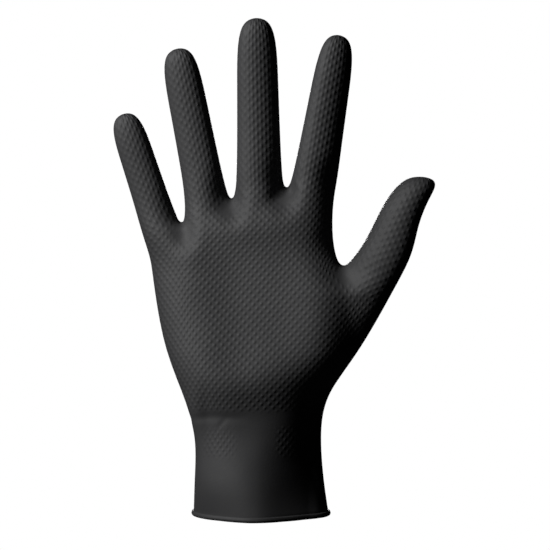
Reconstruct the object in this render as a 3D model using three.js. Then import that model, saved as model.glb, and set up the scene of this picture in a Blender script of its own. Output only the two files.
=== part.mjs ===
// A nitrile exam glove in the form that it has on a hand, as one dipped piece of film with a rolled cuff.
// Millimetres, +Z towards the fingertips, palm facing -Y, thumb towards +X, origin in the middle of the mouth.
// A coarse cage of four-sided faces is laid out from the sizes below and then smoothed twice.
import * as THREE from 'three';

// Film and rolled cuff
const FILM_WALL = 1;
const BEAD_HEIGHT = 3.2;
const BEAD_PROUD = 1.2;

// Cuff, wrist and palm. PALM_TURN is how many degrees the palm and knuckles are turned, the thumb's side forward.
const CUFF_WIDTH = 64.5;
const CUFF_DEPTH = 54.5;
const WRIST_WIDTH = 59.8;
const WRIST_DEPTH = 45;
const WRIST_HEIGHT = 40;
const PALM_DEPTH = 30;
const PALM_TURN = 10;
const KNUCKLE_HEIGHT = 156;

// Fingers: length from the knuckle line to the tip, and width at the root
const LITTLE_LENGTH = 58.8;
const LITTLE_WIDTH = 17.6;
const RING_LENGTH = 77.3;
const RING_WIDTH = 19.4;
const MIDDLE_LENGTH = 82.6;
const MIDDLE_WIDTH = 21.2;
const INDEX_LENGTH = 74.4;
const INDEX_WIDTH = 20.9;
const WEB_GAP = 4.6;
const MIDDLE_OFFSET = 0.6;
const FINGER_CURL = 12;

// Thumb: length from its web to its tip, thickness seen from the palm, and breadth across the nail
const THUMB_LENGTH = 54.2;
const THUMB_WIDTH = 22.5;
const THUMB_BREADTH = 21.5;
const THUMB_TILT = 27.8;

// How far the smoothing pulls a round tube of four or ten cage points in from the cage
const PULL_OF_FOUR = 11 / 12;
const PULL_OF_TEN = (4 + 2 * Math.cos(Math.PI / 5)) / 6;
const SMOOTHINGS = 2;

// The four fingers in order from the little finger. taper is the tip's width as a share of the root's, drop is how far
// the root lies below the middle finger's, and web how far the web to the next finger lies below both roots' mean.
const FINGERS = [
  {
    length: LITTLE_LENGTH, width: LITTLE_WIDTH, taper: 0.88, tilt: -17.9,
    drop: 0.114 * KNUCKLE_HEIGHT, web: 0.27 * LITTLE_WIDTH,
  },
  {
    length: RING_LENGTH, width: RING_WIDTH, taper: 0.88, tilt: -10.9,
    drop: 0.046 * KNUCKLE_HEIGHT, web: 0.07 * RING_WIDTH,
  },
  { length: MIDDLE_LENGTH, width: MIDDLE_WIDTH, taper: 0.86, tilt: -1, drop: 0, web: 0 },
  { length: INDEX_LENGTH, width: INDEX_WIDTH, taper: 0.78, tilt: 9.5, drop: -0.005 * KNUCKLE_HEIGHT, web: 0 },
];

// Sections of a finger. along is a share of its length, beyond, width and depth are shares of its width there.
const FINGER_SECTIONS = [
  { along: 0.1, beyond: 0, width: 1.02, depth: 0.95 },
  { along: 0.33, beyond: 0, width: 1, depth: 0.93 },
  { along: 0.62, beyond: 0, width: 1, depth: 0.91 },
  { along: 1, beyond: -0.48, width: 1.02, depth: 0.88 },
  { along: 1, beyond: 0.03, width: 0.6, depth: 0.5 },
];

// Sections of the thumb from its root. along is a share of its length, aside and width are shares of its width
// (aside leads away from the palm), breadth and forward are shares of its breadth, and turn is in degrees.
const THUMB_SECTIONS = [
  { along: 0, aside: 0, width: 1.05, breadth: 1.15, forward: 0.25, turn: 8 },
  { along: 0.31, aside: 0.04, width: 0.98, breadth: 1.02, forward: 0.33, turn: -8 },
  { along: 0.58, aside: -0.08, width: 0.84, breadth: 1, forward: 0.4, turn: 3 },
  { along: 0.82, aside: -0.08, width: 0.7, breadth: 0.94, forward: 0.46, turn: 3 },
  { along: 1, aside: 0.05, width: 0.54, breadth: 0.6, forward: 0.5, turn: -18 },
];

const radians = THREE.MathUtils.degToRad;
const mix = THREE.MathUtils.lerp;

// The cage: points, and faces of four corners that run anticlockwise seen from outside
const cage = { points: [], faces: [] };

function addPoint(x, y, z) {
  cage.points.push(new THREE.Vector3(x, y, z));
  return cage.points.length - 1;
}

// Joins two loops of as many points with a band of faces, leaving out the one numbered gap
function addBand(from, to, gap = -1) {
  from.forEach((corner, i) => {
    const next = (i + 1) % from.length;
    if (i !== gap) cage.faces.push([corner, from[next], to[next], to[i]]);
  });
}

// Root of each finger, side by side with WEB_GAP between them, and the middle finger just beside the cuff's axis
function placeFingers() {
  const middle = FINGERS.length / 2;
  FINGERS.forEach((finger) => {
    finger.rootZ = KNUCKLE_HEIGHT - finger.drop;
  });
  FINGERS[middle].rootX = -MIDDLE_OFFSET;
  for (let i = middle + 1; i < FINGERS.length; i++) {
    FINGERS[i].rootX = FINGERS[i - 1].rootX + WEB_GAP + (FINGERS[i - 1].width + FINGERS[i].width) / 2;
  }
  for (let i = middle - 1; i >= 0; i--) {
    FINGERS[i].rootX = FINGERS[i + 1].rootX - WEB_GAP - (FINGERS[i + 1].width + FINGERS[i].width) / 2;
  }
}

placeFingers();

const little = FINGERS[0];
const index = FINGERS[FINGERS.length - 1];
const KNUCKLE_WIDTH = index.rootX + index.width / 2 - little.rootX + little.width / 2;

// The knuckle line: the outer side of the little finger, the three webs, and the outer side of the index finger
function knuckleColumns() {
  const columns = [{ x: little.rootX - 0.5 * little.width, z: little.rootZ - 0.3 * little.width }];
  for (let i = 0; i + 1 < FINGERS.length; i++) {
    const left = FINGERS[i];
    const right = FINGERS[i + 1];
    columns.push({
      x: (left.rootX + left.width / 2 + right.rootX - right.width / 2) / 2,
      z: (left.rootZ + right.rootZ) / 2 - left.web,
    });
  }
  columns.push({ x: index.rootX + 0.5 * index.width, z: index.rootZ - 0.2 * index.width });
  return columns;
}

const COLUMNS = knuckleColumns();
const PALM_HEIGHT = KNUCKLE_HEIGHT - WRIST_HEIGHT;

// Sections of the cuff and palm. left and right are the outline's distances from the axis, front and back its depths,
// slant is how far the section drops towards the little finger's side, turn is how many degrees the section is
// turned, the thumb's side forward, as the palm turns against the forearm,
// fan tells how far the five columns have spread from evenly round (0) to under the webs (1),
// and flat how far the section has flattened from an ellipse (0) to a box (1).
const PALM_SECTIONS = [
  {
    z: BEAD_HEIGHT, slant: 0, turn: 0.1 * PALM_TURN, left: 0.5 * CUFF_WIDTH, right: 0.5 * CUFF_WIDTH,
    front: 0.5 * CUFF_DEPTH, back: 0.5 * CUFF_DEPTH, fan: 0, flat: 0,
  },
  {
    z: 0.45 * WRIST_HEIGHT, slant: 0, turn: -PALM_TURN, left: 0.49 * CUFF_WIDTH, right: 0.466 * CUFF_WIDTH,
    front: 0.45 * CUFF_DEPTH, back: 0.46 * CUFF_DEPTH, fan: 0, flat: 0,
  },
  {
    z: WRIST_HEIGHT, slant: 0, turn: -1.1 * PALM_TURN, left: 0.515 * WRIST_WIDTH, right: 0.475 * WRIST_WIDTH,
    front: 0.45 * WRIST_DEPTH, back: 0.49 * WRIST_DEPTH, fan: 0, flat: 0,
  },
  {
    z: WRIST_HEIGHT + 0.17 * PALM_HEIGHT, slant: 0, turn: -0.4 * PALM_TURN,
    left: 0.4 * KNUCKLE_WIDTH, right: 0.335 * KNUCKLE_WIDTH,
    front: 0.72 * PALM_DEPTH, back: 0.62 * PALM_DEPTH, fan: 0.1, flat: 0.05,
  },
  {
    z: WRIST_HEIGHT + 0.36 * PALM_HEIGHT, slant: 0, turn: 0.4 * PALM_TURN,
    left: 0.505 * KNUCKLE_WIDTH, right: 0.525 * KNUCKLE_WIDTH,
    front: 0.66 * PALM_DEPTH, back: 0.52 * PALM_DEPTH, fan: 0.3, flat: 0.2,
  },
  {
    z: WRIST_HEIGHT + 0.69 * PALM_HEIGHT, slant: 0.06 * PALM_HEIGHT, turn: PALM_TURN,
    left: 0.563 * KNUCKLE_WIDTH, right: 0.395 * KNUCKLE_WIDTH,
    front: 0.52 * PALM_DEPTH, back: 0.46 * PALM_DEPTH, fan: 0.7, flat: 0.4,
  },
  {
    z: WRIST_HEIGHT + 0.83 * PALM_HEIGHT, slant: 0.11 * PALM_HEIGHT, turn: PALM_TURN,
    left: 0.575 * KNUCKLE_WIDTH, right: 0.365 * KNUCKLE_WIDTH,
    front: 0.48 * PALM_DEPTH, back: 0.45 * PALM_DEPTH, fan: 0.9, flat: 0.4,
  },
];

// Where the middle of a turned section lies, front to back, at the sideways distance x
function forward(x, turn) {
  return -x * Math.tan(radians(turn));
}

// The thumb grows out of this band of faces, counted from the mouth, and out of this face of the band's ten
const THUMB_BAND = 4;
const THUMB_FACE = 4;

// One loop of the palm: five columns along the front from the little finger's side, then back along the rear
function palmLoop(section) {
  const front = [];
  const back = [];
  const middle = (section.right - section.left) / 2;
  const reach = (section.right + section.left) / 2 / PULL_OF_TEN;
  COLUMNS.forEach((column, i) => {
    const angle = Math.PI * (0.1 + 0.2 * i);
    const evenX = middle - reach * Math.cos(angle);
    const first = middle - reach * Math.cos(Math.PI * 0.1);
    const last = middle + reach * Math.cos(Math.PI * 0.1);
    const place = (column.x - COLUMNS[0].x) / (COLUMNS[4].x - COLUMNS[0].x);
    const x = mix(evenX, mix(first, last, place), section.fan);
    const bulge = mix(Math.sin(angle), 1, section.flat) / PULL_OF_TEN;
    const y = forward(x, section.turn);
    const z = section.z - section.slant * (1 - place);
    front.push(addPoint(x, y - section.front * bulge, z));
    back.push(addPoint(x, y + section.back * bulge, z));
  });
  return [...front, ...back.reverse()];
}

// Half the film's depth at the two ends of the knuckle line and at the webs
const EDGE_DEPTH = 0.4 * PALM_DEPTH;
const WEB_DEPTH = 0.36 * PALM_DEPTH;

// The loop at the knuckles, whose cells are the roots of the fingers
function knuckleLoop() {
  const front = [];
  const back = [];
  COLUMNS.forEach((column, i) => {
    const depth = i === 0 || i === COLUMNS.length - 1 ? EDGE_DEPTH : WEB_DEPTH;
    const y = forward(column.x, PALM_TURN);
    front.push(addPoint(column.x, y - depth, column.z));
    back.push(addPoint(column.x, y + depth, column.z));
  });
  return [...front, ...back.reverse()];
}

function addFinger(finger, root) {
  const tilt = radians(finger.tilt);
  let loop = root;
  FINGER_SECTIONS.forEach((section) => {
    const along = section.along * finger.length + section.beyond * finger.width;
    const x = finger.rootX + along * Math.sin(tilt);
    const y = forward(finger.rootX, PALM_TURN) - FINGER_CURL * (along / MIDDLE_LENGTH) ** 2;
    const z = finger.rootZ + along * Math.cos(tilt);
    const width = finger.width * mix(1, finger.taper, section.along);
    const halfWidth = (section.width * width) / 2 / PULL_OF_FOUR;
    const halfDepth = (section.depth * width) / 2 / PULL_OF_FOUR;
    const acrossX = halfWidth * Math.cos(tilt);
    const acrossZ = -halfWidth * Math.sin(tilt);
    const next = [
      addPoint(x - acrossX, y - halfDepth, z - acrossZ),
      addPoint(x + acrossX, y - halfDepth, z + acrossZ),
      addPoint(x + acrossX, y + halfDepth, z + acrossZ),
      addPoint(x - acrossX, y + halfDepth, z - acrossZ),
    ];
    addBand(loop, next);
    loop = next;
  });
  cage.faces.push(loop);
}

// Middle of the thumb's root, beside the palm
const THUMB_ROOT_X = 0.567 * KNUCKLE_WIDTH;
const THUMB_ROOT_Z = WRIST_HEIGHT + 0.65 * PALM_HEIGHT;

function addThumb(root) {
  const tilt = radians(THUMB_TILT);
  let loop = root;
  THUMB_SECTIONS.forEach((section) => {
    const along = section.along * THUMB_LENGTH;
    const aside = section.aside * THUMB_WIDTH;
    const turned = tilt + radians(section.turn);
    const x = THUMB_ROOT_X + along * Math.sin(tilt) + aside * Math.cos(tilt);
    const y = forward(THUMB_ROOT_X, PALM_TURN) - section.forward * THUMB_BREADTH;
    const z = THUMB_ROOT_Z + along * Math.cos(tilt) - aside * Math.sin(tilt);
    const halfWidth = (section.width * THUMB_WIDTH) / 2 / PULL_OF_FOUR;
    const halfBreadth = (section.breadth * THUMB_BREADTH) / 2 / PULL_OF_FOUR;
    const acrossX = halfWidth * Math.cos(turned);
    const acrossZ = -halfWidth * Math.sin(turned);
    const next = [
      addPoint(x + acrossX, y - halfBreadth, z + acrossZ),
      addPoint(x + acrossX, y + halfBreadth, z + acrossZ),
      addPoint(x - acrossX, y + halfBreadth, z - acrossZ),
      addPoint(x - acrossX, y - halfBreadth, z - acrossZ),
    ];
    addBand(loop, next);
    loop = next;
  });
  cage.faces.push(loop);
}

function layOutCage() {
  let loop = palmLoop(PALM_SECTIONS[0]);
  PALM_SECTIONS.slice(1).forEach((section, i) => {
    const next = palmLoop(section);
    if (i === THUMB_BAND) {
      addBand(loop, next, THUMB_FACE);
      addThumb([loop[THUMB_FACE], loop[THUMB_FACE + 1], next[THUMB_FACE + 1], next[THUMB_FACE]]);
    } else {
      addBand(loop, next);
    }
    loop = next;
  });
  const knuckles = knuckleLoop();
  addBand(loop, knuckles);
  FINGERS.forEach((finger, i) => {
    addFinger(finger, [knuckles[i], knuckles[i + 1], knuckles[8 - i], knuckles[9 - i]]);
  });
}

// Mounds and hollows of the smoothed film. side is -1 for the palm and 1 for the back, x and z are the middle,
// wide and tall are the distances over which it fades, and rise is its height, below zero for a hollow.
const RELIEF = [
  // mound at the thumb's root, mound at the little finger's side, heel and hollow of the palm, pads under the fingers
  {
    side: -1, x: 0.33 * KNUCKLE_WIDTH, z: WRIST_HEIGHT + 0.42 * PALM_HEIGHT,
    wide: 0.2 * KNUCKLE_WIDTH, tall: 0.24 * PALM_HEIGHT, rise: 0.12 * PALM_DEPTH,
  },
  {
    side: -1, x: -0.27 * KNUCKLE_WIDTH, z: WRIST_HEIGHT + 0.27 * PALM_HEIGHT,
    wide: 0.16 * KNUCKLE_WIDTH, tall: 0.16 * PALM_HEIGHT, rise: 0.07 * PALM_DEPTH,
  },
  {
    side: -1, x: 0.08 * KNUCKLE_WIDTH, z: WRIST_HEIGHT + 0.24 * PALM_HEIGHT,
    wide: 0.2 * KNUCKLE_WIDTH, tall: 0.12 * PALM_HEIGHT, rise: 0.07 * PALM_DEPTH,
  },
  {
    side: -1, x: -0.02 * KNUCKLE_WIDTH, z: WRIST_HEIGHT + 0.55 * PALM_HEIGHT,
    wide: 0.2 * KNUCKLE_WIDTH, tall: 0.24 * PALM_HEIGHT, rise: -0.03 * PALM_DEPTH,
  },
  {
    side: -1, x: -0.1 * KNUCKLE_WIDTH, z: WRIST_HEIGHT + 0.86 * PALM_HEIGHT,
    wide: 0.4 * KNUCKLE_WIDTH, tall: 0.08 * PALM_HEIGHT, rise: 0.05 * PALM_DEPTH,
  },
  // valleys that run down from the webs between the fingers, and the knuckles on the back
  ...COLUMNS.slice(1, -1).flatMap((web) =>
    [-1, 1].map((side) => ({
      side, x: web.x, z: web.z - 0.02 * PALM_HEIGHT,
      wide: 0.045 * KNUCKLE_WIDTH, tall: 0.07 * PALM_HEIGHT, rise: -0.1 * PALM_DEPTH,
    })),
  ),
  ...FINGERS.map((finger) => ({
    side: 1, x: finger.rootX, z: finger.rootZ - 0.06 * PALM_HEIGHT,
    wide: 0.4 * finger.width, tall: 0.08 * PALM_HEIGHT, rise: 0.05 * PALM_DEPTH,
  })),
];

// Raises and sinks the points that face the relief's side
function pressRelief(mesh) {
  const outward = outwardOf(mesh);
  mesh.points.forEach((point, i) => {
    let rise = 0;
    RELIEF.forEach((form) => {
      const facing = Math.max(0, outward[i].y * form.side);
      const apart = ((point.x - form.x) / form.wide) ** 2 + ((point.z - form.z) / form.tall) ** 2;
      rise += form.rise * facing * Math.exp(-apart);
    });
    point.addScaledVector(outward[i], rise);
  });
}

// One smoothing step by the rules of Catmull and Clark, with the mouth's edge kept as an open edge
function smooth(mesh) {
  const points = [];
  const facePoints = mesh.faces.map((face) => {
    const centre = new THREE.Vector3();
    face.forEach((corner) => centre.addScaledVector(mesh.points[corner], 1 / face.length));
    return centre;
  });
  const edges = new Map();
  const edgeOf = (a, b) => edges.get(a < b ? `${a},${b}` : `${b},${a}`);
  mesh.faces.forEach((face, f) => {
    face.forEach((a, i) => {
      const b = face[(i + 1) % face.length];
      const key = a < b ? `${a},${b}` : `${b},${a}`;
      if (!edges.has(key)) edges.set(key, { ends: [a, b], faces: [] });
      edges.get(key).faces.push(f);
    });
  });
  const around = mesh.points.map(() => ({ faces: new THREE.Vector3(), mids: new THREE.Vector3(), count: 0, rim: [] }));
  mesh.faces.forEach((face, f) => {
    face.forEach((corner) => around[corner].faces.add(facePoints[f]));
  });
  edges.forEach((edge) => {
    const [a, b] = edge.ends;
    edge.middle = mesh.points[a].clone().add(mesh.points[b]).multiplyScalar(0.5);
    edge.ends.forEach((end) => {
      around[end].mids.add(edge.middle);
      around[end].count += 1;
      if (edge.faces.length === 1) around[end].rim.push(edge.middle);
    });
  });
  mesh.points.forEach((point, i) => {
    const { faces, mids, count, rim } = around[i];
    if (rim.length) {
      points.push(point.clone().multiplyScalar(0.5).addScaledVector(rim[0], 0.25).addScaledVector(rim[1], 0.25));
      return;
    }
    const moved = point.clone().multiplyScalar((count - 3) / count);
    points.push(moved.addScaledVector(faces, 1 / count ** 2).addScaledVector(mids, 2 / count ** 2));
  });
  edges.forEach((edge) => {
    edge.point = points.length;
    if (edge.faces.length === 1) {
      points.push(edge.middle);
      return;
    }
    const sum = facePoints[edge.faces[0]].clone().add(facePoints[edge.faces[1]]).multiplyScalar(0.25);
    points.push(sum.addScaledVector(edge.middle, 0.5));
  });
  const faces = [];
  mesh.faces.forEach((face, f) => {
    const centre = points.length;
    points.push(facePoints[f]);
    face.forEach((corner, i) => {
      const after = edgeOf(corner, face[(i + 1) % face.length]).point;
      const before = edgeOf(face[(i + face.length - 1) % face.length], corner).point;
      faces.push([corner, after, centre, before]);
    });
  });
  return { points, faces };
}

// Outward direction at each point, from the faces around it
function outwardOf(mesh) {
  const outward = mesh.points.map(() => new THREE.Vector3());
  const first = new THREE.Vector3();
  const second = new THREE.Vector3();
  mesh.faces.forEach(([a, b, c, d]) => {
    first.subVectors(mesh.points[c], mesh.points[a]);
    second.subVectors(mesh.points[d], mesh.points[b]);
    const normal = new THREE.Vector3().crossVectors(first, second);
    [a, b, c, d].forEach((corner) => outward[corner].add(normal));
  });
  return outward.map((direction) => direction.normalize());
}

// The mouth's open edge, in order round the cuff
function mouthLoop(mesh) {
  const after = new Map();
  mesh.faces.forEach((face) => {
    face.forEach((a, i) => after.set(`${a},${face[(i + 1) % 4]}`, [a, face[(i + 1) % 4]]));
  });
  const open = new Map();
  after.forEach(([a, b]) => {
    if (!after.has(`${b},${a}`)) open.set(a, b);
  });
  const start = open.keys().next().value;
  const loop = [start];
  while (open.get(loop[loop.length - 1]) !== start) loop.push(open.get(loop[loop.length - 1]));
  return loop;
}

// Section of the rolled bead: angles round it from above its outer side, under it and up to the inner side
const BEAD_ANGLES = [50, 15, -20, -55, -90, -130, -180];

function buildGlove() {
  layOutCage();
  let outer = cage;
  for (let i = 0; i < SMOOTHINGS; i++) outer = smooth(outer);
  pressRelief(outer);
  const outward = outwardOf(outer);
  const mouth = mouthLoop(outer);
  mouth.forEach((corner) => outward[corner].setZ(0).normalize());

  const points = outer.points.map((point) => point.clone());
  const innerStart = points.length;
  outer.points.forEach((point, i) => points.push(point.clone().addScaledVector(outward[i], -FILM_WALL)));

  const triangles = [];
  const addQuad = (a, b, c, d) => {
    if (points[a].distanceTo(points[c]) < points[b].distanceTo(points[d])) triangles.push(a, b, c, a, c, d);
    else triangles.push(a, b, d, b, c, d);
  };
  outer.faces.forEach(([a, b, c, d]) => {
    addQuad(a, b, c, d);
    addQuad(d + innerStart, c + innerStart, b + innerStart, a + innerStart);
  });

  const halfHeight = BEAD_HEIGHT / 2;
  const halfWidth = (BEAD_PROUD + FILM_WALL) / 2;
  const rows = [mouth];
  BEAD_ANGLES.forEach((degrees) => {
    const angle = radians(degrees);
    const out = BEAD_PROUD - halfWidth + halfWidth * Math.cos(angle);
    const up = halfHeight + halfHeight * Math.sin(angle);
    rows.push(
      mouth.map((corner) => {
        const point = outer.points[corner].clone().addScaledVector(outward[corner], out).setZ(up);
        points.push(point);
        return points.length - 1;
      }),
    );
  });
  rows.push(mouth.map((corner) => corner + innerStart));
  rows.slice(1).forEach((row, r) => {
    const above = rows[r];
    above.forEach((corner, i) => {
      const next = (i + 1) % above.length;
      addQuad(above[next], corner, row[i], row[next]);
    });
  });

  const geometry = new THREE.BufferGeometry();
  geometry.setAttribute('position', new THREE.Float32BufferAttribute(points.flatMap((p) => p.toArray()), 3));
  geometry.setIndex(triangles);
  geometry.computeVertexNormals();
  return geometry;
}

const blackNitrile = new THREE.MeshStandardMaterial({ color: 0x161617, roughness: 0.55, metalness: 0 });

const glove = new THREE.Mesh(buildGlove(), blackNitrile);
glove.name = 'glove_shell';

const group = new THREE.Group();
group.add(glove);

export default group;
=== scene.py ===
import math

import bmesh
import bpy
import numpy as np
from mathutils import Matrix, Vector
from mathutils.bvhtree import BVHTree


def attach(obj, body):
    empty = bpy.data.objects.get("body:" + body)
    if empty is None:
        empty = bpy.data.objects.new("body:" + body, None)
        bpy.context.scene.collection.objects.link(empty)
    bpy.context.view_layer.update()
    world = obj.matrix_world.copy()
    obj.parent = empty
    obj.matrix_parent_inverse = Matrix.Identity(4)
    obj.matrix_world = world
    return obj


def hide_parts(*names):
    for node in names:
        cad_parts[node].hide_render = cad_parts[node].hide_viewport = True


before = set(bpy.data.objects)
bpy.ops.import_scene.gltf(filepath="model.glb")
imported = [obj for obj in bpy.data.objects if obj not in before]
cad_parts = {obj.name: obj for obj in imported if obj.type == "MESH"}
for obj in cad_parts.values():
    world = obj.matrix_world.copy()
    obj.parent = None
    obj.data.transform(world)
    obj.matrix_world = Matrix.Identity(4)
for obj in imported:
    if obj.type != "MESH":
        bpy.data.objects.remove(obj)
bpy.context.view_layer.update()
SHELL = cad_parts["glove_shell"]

# All sizes below are millimetres, and the meshes are turned into metres when they are made.
MM = 0.001
BEAD_HEIGHT = 3.2
BEAD_PROUD = 1.2
WALL = 1.0

# Lower edge of the film, inside the bead, and the mesh size of its outside
FILM_FOOT = 1.2
GRAIN = 1.0

# Digits, seen from the side: the curl that the middle finger has at its full length, and how far the thumb leans
# forward
FINGER_CURL = 12
FULL_LENGTH = 82.6
THUMB_FORWARD = 21.5

# The diamond grip: width and height of its cells, and the lean of its columns and rows
CELL_WIDE = 3.78
CELL_TALL = 3.95
COLUMN_LEAN = math.tan(math.radians(4.4))
ROW_RISE = math.tan(math.radians(4.6))

# Height of the pads in the mesh, which the material raises further, and where the grip ends above the cuff
PAD_HEIGHT = 0.05
GRIP_FOOT = 52.0

# Film: darkest and lightest colour, shine, depth of its relief for a height of 1, and the height of a pad
FILM_DARK = (0.028, 0.028, 0.029, 1)
FILM_LIGHT = (0.034, 0.034, 0.035, 1)
FILM_SHINE = 0.35
RELIEF_DEPTH = 0.5
PAD_RELIEF = 0.45

# Camera: its distance, height and side shift, and the width that it sees at the glove
VIEW_DISTANCE = 900
VIEW_HEIGHT = 116.4
VIEW_SIDE = 6.8
VIEW_WIDTH = 265.1


# Mesh helpers
def object_from(name, points, faces):
    mesh = bpy.data.meshes.new(name)
    mesh.from_pydata((np.asarray(points) * MM).tolist(), [], [list(map(int, f)) for f in faces])
    mesh.update()
    made = bpy.data.objects.new(name, mesh)
    bpy.context.scene.collection.objects.link(made)
    return made


def after_modifiers(made):
    """Points in millimetres and faces of an object with its modifiers, and the object is removed."""
    done = made.evaluated_get(bpy.context.evaluated_depsgraph_get())
    mesh = done.to_mesh()
    points = np.empty(len(mesh.vertices) * 3)
    mesh.vertices.foreach_get("co", points)
    faces = [tuple(p.vertices) for p in mesh.polygons]
    done.to_mesh_clear()
    bpy.data.objects.remove(made)
    return points.reshape(-1, 3) / MM, faces


def edges_of(faces):
    pairs = set()
    for face in faces:
        for i, a in enumerate(face):
            b = face[i - 1]
            pairs.add((a, b) if a < b else (b, a))
    return np.array(sorted(pairs))


def neighbour_mean(points, edges):
    total = np.zeros_like(points)
    count = np.zeros(len(points))
    for a, b in ((0, 1), (1, 0)):
        np.add.at(total, edges[:, a], points[edges[:, b]])
        np.add.at(count, edges[:, a], 1)
    return total / np.maximum(count, 1)[:, None]


def step(x, low, high):
    """Smooth rise from 0 at low to 1 at high, or a fall where low is above high."""
    t = np.clip((x - low) / (high - low), 0, 1)
    return t * t * (3 - 2 * t)


# The two skins of the CAD film above the bead
def skins():
    """Points in millimetres and faces of the outer and the inner skin."""
    bm = bmesh.new()
    bm.from_mesh(SHELL.data)
    bmesh.ops.remove_doubles(bm, verts=bm.verts, dist=1e-6)
    bm.faces.index_update()
    above = {f for f in bm.faces if min(v.co.z for v in f.verts) > (BEAD_HEIGHT - 0.02) * MM}
    top = max(above, key=lambda f: max(v.co.z for v in f.verts))
    groups = []
    left = set(above)
    start = top
    while left:
        group = {start}
        front = [start]
        while front:
            face = front.pop()
            for edge in face.edges:
                for other in edge.link_faces:
                    if other in left and other not in group:
                        group.add(other)
                        front.append(other)
        groups.append(group)
        left -= group
        start = next(iter(left), None)
    outer_first = sorted(
        sorted(groups, key=len, reverse=True)[:2],
        key=lambda group: -max(v.co.z for f in group for v in f.verts),
    )
    result = []
    for group in outer_first:
        part = bmesh.new()
        made = {}
        # A set of faces has a new order in each run, and the mesh would follow it
        for face in sorted(group, key=lambda f: f.index):
            corners = []
            for v in face.verts:
                if v not in made:
                    made[v] = part.verts.new(v.co / MM)
                corners.append(made[v])
            part.faces.new(corners)
        bmesh.ops.join_triangles(
            part, faces=part.faces, angle_face_threshold=math.pi, angle_shape_threshold=math.pi
        )
        part.verts.index_update()
        points = np.array([v.co[:] for v in part.verts])
        faces = [tuple(v.index for v in f.verts) for f in part.faces]
        result.append((points, faces))
        part.free()
    bm.free()
    return result


def rim_of(faces):
    """The open edge's points in order."""
    after = {}
    for face in faces:
        for i, a in enumerate(face):
            after[(a, face[(i + 1) % len(face)])] = True
    following = {a: b for a, b in after if (b, a) not in after}
    first = next(iter(following))
    loop = [first]
    while following[loop[-1]] != first:
        loop.append(following[loop[-1]])
    return loop


def with_foot(points, faces, foot):
    """The skin drawn straight down from its open edge to the height foot."""
    loop = rim_of(faces)
    points = list(map(tuple, points))
    faces = list(faces)
    rows = [loop]
    start = points[loop[0]][2]
    count = max(1, round((start - foot) / 1.2))
    for r in range(1, count + 1):
        z = start + (foot - start) * r / count
        rows.append(list(range(len(points), len(points) + len(loop))))
        points += [(points[i][0], points[i][1], z) for i in loop]
    for upper, lower in zip(rows, rows[1:]):
        for i in range(len(loop)):
            j = (i + 1) % len(loop)
            faces.append((upper[j], upper[i], lower[i], lower[j]))
    return np.array(points), faces, rows[-1]


def subdivided(points, faces, levels):
    made = object_from("smooth", points, faces)
    modifier = made.modifiers.new("smooth", "SUBSURF")
    modifier.levels = levels
    return after_modifiers(made)


def through_points(points, faces):
    """Control points whose smooth surface passes through the given points."""
    control = points.copy()
    for turn in range(4):
        control += points - subdivided(control, faces, 1)[0][:len(points)]
    return control


outer_raw, inner_raw = skins()
target_points, target_faces = subdivided(through_points(*outer_raw), outer_raw[1], 2)
target_points, target_faces, target_foot = with_foot(target_points, target_faces, -4.0)


# Even mesh of the outer skin
def even_skin():
    """An even mesh of the outer skin, cut off at its foot. It is made turned, so that its rows show nowhere."""
    closed = list(target_faces) + [tuple(reversed(target_foot))]
    turn = np.array(Vector((0, -1, 0)).rotation_difference(Vector((1, 1, 1))).to_matrix())
    made = object_from("even", target_points @ turn.T, closed)
    modifier = made.modifiers.new("even", "REMESH")
    modifier.mode = "VOXEL"
    modifier.voxel_size = GRAIN * MM
    modifier.adaptivity = 0
    points, faces = after_modifiers(made)
    points = points @ turn
    bm = bmesh.new()
    verts = [bm.verts.new(p) for p in points]
    for f in faces:
        bm.faces.new([verts[i] for i in f])
    bmesh.ops.bisect_plane(
        bm, geom=bm.verts[:] + bm.edges[:] + bm.faces[:], dist=1e-4,
        plane_co=(0, 0, FILM_FOOT), plane_no=(0, 0, -1), clear_outer=True,
    )
    near_foot = [e for e in bm.edges if max(v.co.z for v in e.verts) < FILM_FOOT + 1.2]
    bmesh.ops.dissolve_degenerate(bm, dist=0.15, edges=near_foot)
    bm.verts.index_update()
    points = np.array([v.co[:] for v in bm.verts])
    faces = [tuple(v.index for v in f.verts) for f in bm.faces]
    bm.free()
    return points, faces


skin_points, skin_faces = even_skin()
skin_edges = edges_of(skin_faces)
skin_rim = rim_of(skin_faces)

target_tree = BVHTree.FromPolygons([tuple(p) for p in target_points], target_faces)


def onto_target(points):
    return np.array([target_tree.find_nearest(Vector(p))[0][:] for p in points])


# The even mesh is relaxed along the skin, and then smoothed without shrinking, with its rim held
free = np.ones(len(skin_points), bool)
free[skin_rim] = False
skin_points = onto_target(skin_points)
for turn in range(3):
    mean = neighbour_mean(skin_points, skin_edges)
    skin_points[free] += 0.5 * (mean - skin_points)[free]
    skin_points = onto_target(skin_points)
for share in (0.5, -0.52) * 3:
    mean = neighbour_mean(skin_points, skin_edges)
    skin_points[free] += share * (mean - skin_points)[free]
skin_points[skin_rim, 2] = FILM_FOOT


def normals_of(points, faces):
    made = object_from("normals", points, faces)
    normals = np.empty(len(points) * 3)
    made.data.vertices.foreach_get("normal", normals)
    bpy.data.objects.remove(made)
    return normals.reshape(-1, 3)


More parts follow.
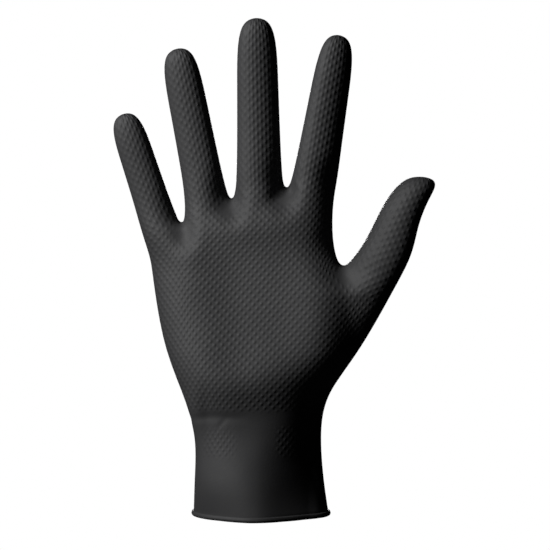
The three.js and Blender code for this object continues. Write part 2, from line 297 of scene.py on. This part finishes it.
# Diamond grip
# Outline of the palm with the thumb's root: height, left and right edge, half depth, its middle and its turn
PALM = [
    (3, -32.3, 32.3, 27.2, 0, -0.02),
    (18, -31.6, 30.1, 24.8, 0, 0.18),
    (40, -30.8, 28.4, 21.2, -0.9, 0.19),
    (60, -37.1, 34.0, 20.1, -1.5, 0.07),
    (82, -46.9, 48.5, 17.7, -2.1, -0.07),
    (104, -50.0, 61.0, 16.0, -2.0, -0.13),
    (126, -53.0, 36.0, 14.4, -0.9, -0.18),
    (136, -55.0, 35.0, 13.9, -0.4, -0.18),
    (156, -57.3, 35.5, 12.0, 0, -0.18),
]
PALM_SKEW = -0.176

# The digits from the little finger to the thumb: root, tilt, length, width at the root, taper, and where the grip
# changes from the palm's to the digit's
DIGITS = [
    {"x": -48.5, "z": 138.2, "tilt": -17.9, "length": 58.8, "width": 17.6, "taper": 0.88, "blend": (-6, 8)},
    {"x": -25.5, "z": 148.8, "tilt": -10.9, "length": 77.3, "width": 19.4, "taper": 0.88, "blend": (-6, 8)},
    {"x": -0.6, "z": 156.0, "tilt": -1.0, "length": 82.6, "width": 21.2, "taper": 0.86, "blend": (-6, 8)},
    {"x": 25.05, "z": 156.8, "tilt": 9.5, "length": 74.4, "width": 20.9, "taper": 0.78, "blend": (-6, 8)},
    {"x": 52.6, "z": 115.4, "tilt": 27.8, "length": 54.2, "width": 22.5, "taper": 0.7, "blend": (-18, 10)},
]
THUMB = DIGITS[-1]

# Places without grip: x, z and the distance over which it comes back
BARE = [
    (-38.4, 136.5, 6.5), (-16.1, 148.0, 5.0), (11.0, 153.0, 5.0), (41.0, 116.5, 6.0),
]

# Faint patches of grip on the cuff: x, z, half width, half height, strength
PATCHES = [(-20.5, 37.0, 8.0, 6.5, 0.65), (13.0, 37.5, 5.0, 6.5, 1.1)]


def around(across, depth, edge, radius):
    """Distance round a flat oval section from its middle."""
    over = np.maximum(np.abs(across) - edge, 0)
    return np.sign(across) * (np.minimum(np.abs(across), edge) + radius * np.arctan2(over, np.abs(depth)))


def digit_axes(digit, x, z):
    """Distances along and across a digit from its root."""
    tilt = math.radians(digit["tilt"])
    dx, dz = x - digit["x"], z - digit["z"]
    return dx * math.sin(tilt) + dz * math.cos(tilt), dx * math.cos(tilt) - dz * math.sin(tilt)


def lattice(points):
    """Column and row in the grip's lattice, how far its dots are drawn out along a finger, and its strength."""
    x, y, z = points.T
    on_digit = np.zeros(len(x))
    soften = np.ones(len(x))
    rows = np.array(PALM, float)
    left, right, half, middle, skew = (np.interp(z, rows[:, 0], rows[:, c]) for c in (1, 2, 3, 4, 5))
    inner_left, inner_right = left + half, right - half
    edge = np.where(x > 0, np.maximum(inner_right, 0), np.maximum(-inner_left, 0))
    flat_x = around(x, y - middle - skew * x, edge, half)
    flat_z = z.copy()
    for digit in DIGITS:
        along, across = digit_axes(digit, x, z)
        share = np.clip(along / digit["length"], 0, 1)
        half_width = digit["width"] / 2 * (1 + (digit["taper"] - 1) * share)
        if digit is THUMB:
            depth = y - PALM_SKEW * digit["x"] + THUMB_FORWARD * (0.25 + 0.25 * share)
            across = across + 1.5 * share
            radius = 11.0
            within = step(across, -25, -14)
            half_width = 0.9 * half_width
        else:
            depth = y - PALM_SKEW * digit["x"] + FINGER_CURL * (along / FULL_LENGTH) ** 2
            radius = 0.95 * half_width
            within = np.abs(across) < 1.35 * half_width
        wrapped = around(across, depth, np.maximum(half_width - radius, 0.0), radius)
        digit_x = digit["x"] + wrapped + COLUMN_LEAN * along
        digit_z = digit["z"] + along + ROW_RISE * wrapped
        weight = step(along, *digit["blend"]) * within
        on_digit = np.maximum(on_digit, weight * (0.2 if digit is THUMB else 1.0))
        flat_x += weight * (digit_x - flat_x)
        flat_z += weight * (digit_z - flat_z)
        if digit is THUMB:
            soften *= 1 - 0.2 * weight
        else:
            soften *= 1 - 0.45 * weight * step(across / half_width, -0.2, -0.75)
    u = (flat_x - COLUMN_LEAN * flat_z) / CELL_WIDE
    v = (flat_z - ROW_RISE * flat_x) / CELL_TALL
    strength = soften * step(z, GRIP_FOOT - 1.5, GRIP_FOOT + 2.5)
    for bx, bz, fade in BARE:
        strength *= 1 - 0.95 * np.exp(-(((x - bx) ** 2 + (z - bz) ** 2) / fade**2) ** 1.5)
    for px, pz, wide, tall, most in PATCHES:
        inside = np.exp(-((np.abs(x - px) / wide) ** 4) - (np.abs(z - pz) / tall) ** 4)
        strength += most * inside * (y < 0)
    return u, v, on_digit, strength


def pads(u, v):
    """Height of the pads from 0 in the grooves to 1: one pad in each corner and one in the middle of each cell."""
    across, up = np.cos(np.pi * u) ** 2, np.cos(np.pi * v) ** 2
    return across * up + (1 - across) * (1 - up)


# Swells and hollows of the hand under the film
# For the digits from the little finger to the thumb: how far the section comes forward for each millimetre towards
# the thumb's side, and the depth of the hollow beside its root
SHEAR = (0.16, 0.2, 0.04, -0.08, 0.24)
ROOT_HOLLOW = (1.0, 2.2, 2.2, 0.8, 0.0)


def mound(x, z, at_x, at_z, wide, tall):
    return np.exp(-(((x - at_x) / wide) ** 2) - ((z - at_z) / tall) ** 2)


def relief(points):
    """How far the film comes forward of its plain form."""
    x, y, z = points.T

    # The cuff has a soft ridge left of its middle, and falls back from it on the thumb's side
    ridge = np.exp(-(((x + 5) / 12) ** 2))
    slant = step(x, -2, 24) - 0.7 * step(x, 22, 33)
    forward = step(z, 50, 25) * (1 + 0.4 * step(z, 30, 0)) * (1.5 * ridge - 2.6 * slant - 0.6)

    # The palm's hollow lies between the ball of the thumb and the little finger's edge
    hollow = np.exp(-(((x + 14) / 13) ** 2))
    ball = np.exp(-(((x - 31) / 15) ** 2))
    edge = np.exp(-(((x + 40) / 14) ** 2))
    swell = 3.4 * step(z, 136, 112) * ball - 1.6 * step(z, 150, 115) * hollow + 1.2 * step(z, 125, 110) * edge
    forward += step(z, 60, 80) * swell

    # A valley runs down from the web of the thumb, and a pad swells below the little finger
    middle = 36 + 6 * step(z, 135, 116)
    low = step(z, 138, 122)
    valley = np.exp(-(((x - middle) / (9 + 4 * low)) ** 2)) * step(z, 106, 120) * step(z, 176, 160)
    forward -= (3.4 + 1.8 * low) * valley
    forward += 2.0 * mound(x, z, -38, 127, 10, 10)
    forward *= step(-y, 0, 10)
    for digit, shear, root in zip(DIGITS, SHEAR, ROOT_HOLLOW):
        along, across = digit_axes(digit, x, z)
        if digit is THUMB:
            forward += shear * (across - 6) * step(along, -5, 15) * step(across, -22, -13)
        else:
            forward += shear * across * step(along, 0, 22) * step(np.abs(across), 14.5, 11.5)
            forward -= root * mound(across, along, 9, 4, 5.5, 11)
    return forward


grip_u, grip_v, grip_long, grip_strength = lattice(skin_points)
skin_points[:, 1] -= relief(skin_points)
skin_normals = normals_of(skin_points, skin_faces)
rise = PAD_HEIGHT * grip_strength * (pads(grip_u, grip_v) - 0.5)


# Folds at the wrist and between the fingers
# Webs between the fingers: x, z and the depth of the valley below
WEBS = [(-37.1, 139.1, 1.0), (-14.0, 151.0, 2.1), (12.4, 155.2, 2.1)]


def folds(points):
    """How far the film stands out at the wrist's crease and the webs, along its own normal."""
    x, y, z = points.T
    front = step(-y, 0, 10)

    # The heel of the hand steps in to the wrist, most on the little finger's side
    heel = 2.5 * step(z, 12, 44) * step(z, 70, 46) * step(x, 18, -10) * step(x, -33, -26)

    # A crease under it, and one small slanting fold
    line = 48.6 + 0.05 * (x + 22) + 0.5 * np.sin(x / 5.0)
    crease = 0.4 * np.exp(-(((z - line) / 2.0) ** 2)) * step(x, -40, -30) * step(x, -4, -16)
    fold_along = (x + 19) * 0.7 + (z - 46.2) * 0.71
    fold_across = -(x + 19) * 0.71 + (z - 46.2) * 0.7
    crease += 0.3 * np.exp(-((fold_across / 1.2) ** 2) - (fold_along / 3.2) ** 2)
    height = -heel - crease

    # A valley runs from each web down across the root of the finger on the little finger's side
    for web_x, web_z, depth in WEBS:
        along = -(x - web_x) * 0.82 - (z - web_z) * 0.57
        across = -(x - web_x) * 0.57 + (z - web_z) * 0.82 - 1.7
        fade = step(along, -7, -1) * np.exp(-((np.maximum(along, 0) / 11.0) ** 2))
        height -= depth * fade * np.exp(-((across / 4.0) ** 2))
        below = ((x - web_x - 0.5) / 6.0) ** 2 + ((z - web_z + 9.5) / 6.5) ** 2
        height += 0.25 * depth * np.exp(-below)
    return front * height


rise += folds(skin_points)
skin_points += skin_normals * rise[:, None]

# Inner skin, which follows the folds, and the closed film
inner_points, inner_faces = subdivided(*inner_raw, 1)
inner_points[:, 1] -= relief(inner_points)
inward = folds(inner_points)
inward -= 0.4 * step(-inward, 0.05, 0.4)
inner_points -= normals_of(inner_points, inner_faces) * inward[:, None]
inner_points, inner_faces, inner_rim = with_foot(inner_points, inner_faces, FILM_FOOT)


def angle_order(points, loop):
    return sorted(loop, key=lambda i: math.atan2(points[i][1], points[i][0]))


def zipped(points, first, second):
    """Band of triangles between two loops of different counts, both sorted by their angle round the cuff."""
    angle = lambda i: math.atan2(points[i][1], points[i][0])
    band = []
    a = b = 0
    while a < len(first) or b < len(second):
        next_a = angle(first[(a + 1) % len(first)]) + 2 * math.pi * ((a + 1) // len(first))
        next_b = angle(second[(b + 1) % len(second)]) + 2 * math.pi * ((b + 1) // len(second))
        if b >= len(second) or (a < len(first) and next_a < next_b):
            band.append((first[a % len(first)], second[b % len(second)], first[(a + 1) % len(first)]))
            a += 1
        else:
            band.append((first[a % len(first)], second[b % len(second)], second[(b + 1) % len(second)]))
            b += 1
    return band


count = len(skin_points)
film_points = np.vstack([skin_points, inner_points])
film_faces = list(skin_faces) + [tuple(i + count for i in f) for f in inner_faces]
outer_loop = angle_order(film_points, skin_rim)
inner_loop = angle_order(film_points, [i + count for i in inner_rim])
film_faces += zipped(film_points, outer_loop, inner_loop)
film = object_from("glove_film", film_points, film_faces)
film.data.polygons.foreach_set("use_smooth", [True] * len(film.data.polygons))
attributes = {"grip_u": grip_u, "grip_v": grip_v, "grip_long": grip_long, "grip_strength": grip_strength}
for name, values in attributes.items():
    layer = film.data.attributes.new(name, "FLOAT", "POINT")
    layer.data.foreach_set("value", np.concatenate([values, np.zeros(len(inner_points))]).astype(np.float32))


# Rolled bead
def rolled_bead():
    """The roll round the mouth, a little uneven, with one shallow groove on its outside."""
    loop = rim_of(target_faces)
    ring = np.array([target_points[i] for i in loop])
    length = np.concatenate([[0], np.cumsum(np.linalg.norm(np.roll(ring, -1, 0) - ring, axis=1))])
    steps, sides = 360, 28
    at = np.linspace(0, length[-1], steps, endpoint=False)
    closed = np.vstack([ring, ring[:1]])
    path = np.column_stack([np.interp(at, length, closed[:, c]) for c in (0, 1)])
    ahead = np.roll(path, -1, 0) - np.roll(path, 1, 0)
    out = np.column_stack([ahead[:, 1], -ahead[:, 0]])
    out /= np.linalg.norm(out, axis=1)[:, None]
    if (out * path).sum() < 0:
        out = -out
    half_wide = (BEAD_PROUD + WALL) / 2
    half_tall = BEAD_HEIGHT / 2
    points = []
    for i in range(steps):
        turn = math.atan2(path[i, 1], path[i, 0])
        swell = 1 + 0.05 * math.sin(3 * turn + 0.6) + 0.035 * math.sin(7 * turn + 2.1) + 0.02 * math.sin(17 * turn)
        lift = 0.45 * abs(math.cos(turn)) ** 3 + 0.25 * max(0.0, -math.sin(turn)) ** 2 + 0.05 * math.sin(5 * turn)
        for k in range(sides):
            angle = 2 * math.pi * k / sides
            groove = 1 - 0.1 * math.exp(-((math.remainder(angle - 0.35, 2 * math.pi) / 0.16) ** 2))
            wide = half_wide * swell * groove
            tall = 0.8 * half_tall * (1 + 0.5 * (swell - 1)) * groove
            radial = BEAD_PROUD - half_wide + wide * math.cos(angle)
            up = half_tall + lift + tall * math.sin(angle)
            points.append((path[i, 0] + out[i, 0] * radial, path[i, 1] + out[i, 1] * radial, up))
    faces = []
    for i in range(steps):
        j = (i + 1) % steps
        for k in range(sides):
            m = (k + 1) % sides
            faces.append((i * sides + k, j * sides + k, j * sides + m, i * sides + m))
    points = np.array(points)
    points[:, 1] -= relief(points)
    made = object_from("rolled_bead", points, faces)
    bm = bmesh.new()
    bm.from_mesh(made.data)
    bmesh.ops.recalc_face_normals(bm, faces=bm.faces)
    bm.to_mesh(made.data)
    bm.free()
    made.data.polygons.foreach_set("use_smooth", [True] * len(made.data.polygons))
    return made


bead = rolled_bead()


# Nitrile
def nitrile(name, with_grip):
    material = bpy.data.materials.new(name)
    material.use_nodes = True
    nodes, links = material.node_tree.nodes, material.node_tree.links
    shader = nodes["Principled BSDF"]
    shader.inputs["Specular IOR Level"].default_value = FILM_SHINE
    shader.inputs["IOR"].default_value = 1.5

    def add(kind, **values):
        node = nodes.new(kind)
        for key, value in values.items():
            if hasattr(node, key):
                setattr(node, key, value)
            else:
                node.inputs[key].default_value = value
        return node

    def maths(operation, a, b=None, c=None):
        node = nodes.new("ShaderNodeMath")
        node.operation = operation
        for i, value in enumerate((a, b, c)):
            if value is None:
                continue
            if isinstance(value, (int, float)):
                node.inputs[i].default_value = value
            else:
                links.new(value, node.inputs[i])
        return node.outputs[0]

    place = nodes.new("ShaderNodeTexCoord").outputs["Object"]

    def noise(scale, detail, roughness=0.5):
        node = add("ShaderNodeTexNoise", Scale=scale, Detail=detail, Roughness=roughness)
        links.new(place, node.inputs["Vector"])
        return node.outputs["Fac"]

    # Colour and gloss vary a little over the film
    cloud = noise(45, 4)
    ramp = nodes.new("ShaderNodeValToRGB")
    ramp.color_ramp.elements[0].position = 0.3
    ramp.color_ramp.elements[0].color = FILM_DARK
    ramp.color_ramp.elements[1].position = 0.7
    ramp.color_ramp.elements[1].color = FILM_LIGHT
    links.new(cloud, ramp.inputs["Fac"])
    links.new(ramp.outputs["Color"], shader.inputs["Base Color"])
    gloss = maths("MULTIPLY_ADD", noise(160, 5), 0.12, 0.62)
    links.new(gloss, shader.inputs["Roughness"])

    # Fine unevenness of dipped film, and the pads of the grip over it
    fine = maths("MULTIPLY", noise(900, 6, 0.6), 0.09)
    height = maths("ADD", fine, maths("MULTIPLY", noise(120, 3), 0.06))
    if with_grip:
        u, v, long, strength = (
            add("ShaderNodeAttribute", attribute_name=n).outputs["Fac"]
            for n in ("grip_u", "grip_v", "grip_long", "grip_strength")
        )
        across, up = (
            maths("MULTIPLY_ADD", maths("COSINE", maths("MULTIPLY", value, 2 * math.pi)), 0.5, 0.5)
            for value in (u, v)
        )
        narrow = maths("MULTIPLY_ADD", long, 0.5, 2.6)
        tall = maths("MULTIPLY_ADD", long, -0.8, 2.3)
        joined = maths("MULTIPLY", long, 0.16)
        apart = maths("SUBTRACT", 1, joined)

        def dots(across, up):
            """Dots that run together along their columns on the digits."""
            column = maths("MULTIPLY_ADD", maths("POWER", up, tall), apart, joined)
            return maths("MULTIPLY", maths("POWER", across, narrow), column)

        corner = dots(across, up)
        middle = dots(maths("SUBTRACT", 1, across), maths("SUBTRACT", 1, up))
        grip = maths("MULTIPLY", strength, maths("MULTIPLY_ADD", long, 0.1, PAD_RELIEF))
        height = maths("ADD", height, maths("MULTIPLY", maths("ADD", corner, middle), grip))
    bump = add("ShaderNodeBump", Strength=1.0, Distance=RELIEF_DEPTH * MM)
    links.new(height, bump.inputs["Height"])
    links.new(bump.outputs["Normal"], shader.inputs["Normal"])
    return material


film.data.materials.append(nitrile("nitrile_film", True))
bead.data.materials.append(nitrile("nitrile_bead", False))

for piece in (film, bead):
    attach(piece, "root")
    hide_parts("glove_shell")


# Stage: pale floor, white surroundings, soft lights
def plain(name, colour, strength):
    """Pale to the camera, and dark to the glove, so that its surroundings don't light its edges."""
    material = bpy.data.materials.new(name)
    material.use_nodes = True
    nodes, links = material.node_tree.nodes, material.node_tree.links
    nodes.remove(nodes["Principled BSDF"])
    seen = nodes.new("ShaderNodeEmission")
    seen.inputs["Color"].default_value = colour
    seen.inputs["Strength"].default_value = strength
    unseen = nodes.new("ShaderNodeBsdfDiffuse")
    unseen.inputs["Color"].default_value = (0.02, 0.02, 0.02, 1)
    ray = nodes.new("ShaderNodeLightPath")
    mixed = nodes.new("ShaderNodeMixShader")
    links.new(ray.outputs["Is Camera Ray"], mixed.inputs["Fac"])
    links.new(unseen.outputs[0], mixed.inputs[1])
    links.new(seen.outputs[0], mixed.inputs[2])
    links.new(mixed.outputs[0], nodes["Material Output"].inputs["Surface"])
    return material


FLOOR_HALF, FLOOR_DOWN = 4000, -70
corners = [(-1, -1), (1, -1), (1, 1), (-1, 1)]
floor = object_from("floor", [(a * FLOOR_HALF, b * FLOOR_HALF, FLOOR_DOWN) for a, b in corners], [(0, 1, 2, 3)])
floor.data.materials.append(plain("floor_pale", (1, 1, 1, 1), 1.0))

world = bpy.data.worlds.new("studio")
bpy.context.scene.world = world
world.use_nodes = True
nodes, links = world.node_tree.nodes, world.node_tree.links
background = nodes["Background"]
background.inputs["Color"].default_value = (1, 1, 1, 1)
ray = nodes.new("ShaderNodeLightPath")
level = nodes.new("ShaderNodeMath")
level.operation = "MULTIPLY_ADD"
links.new(ray.outputs["Is Camera Ray"], level.inputs[0])
level.inputs[1].default_value = 0.999
level.inputs[2].default_value = 0.001
links.new(level.outputs[0], background.inputs["Strength"])

# The lights stand round this point, in metres
CENTRE = Vector((0, 0, 0.12))


def soft_light(name, azimuth, elevation, distance, size, power):
    """Azimuth 0 is the camera's side and -90 the viewer's left."""
    data = bpy.data.lights.new(name, "AREA")
    data.shape = "DISK"
    data.size = size
    data.energy = power
    lamp = bpy.data.objects.new(name, data)
    a, e = math.radians(azimuth), math.radians(elevation)
    away = Vector((math.sin(a) * math.cos(e), -math.cos(a) * math.cos(e), math.sin(e)))
    lamp.location = CENTRE + away * distance
    lamp.rotation_mode = "QUATERNION"
    lamp.rotation_quaternion = (-away).to_track_quat("-Z", "Y")
    bpy.context.scene.collection.objects.link(lamp)
    lamp.visible_camera = False


soft_light("key", -58, 28, 0.6, 0.25, 4.7)
soft_light("back", 180, 8, 0.8, 0.2, 4.5)

# Camera
camera_data = bpy.data.cameras.new("camera")
camera = bpy.data.objects.new("camera", camera_data)
camera.location = (VIEW_SIDE * MM, -VIEW_DISTANCE * MM, VIEW_HEIGHT * MM)
camera.rotation_euler = (math.radians(90), 0, 0)
camera_data.sensor_width = 36
camera_data.lens = camera_data.sensor_width * VIEW_DISTANCE / VIEW_WIDTH
camera_data.clip_start = 0.01
camera_data.clip_end = 100
bpy.context.scene.collection.objects.link(camera)
bpy.context.scene.camera = camera
bpy.context.scene.view_settings.view_transform = "Standard"
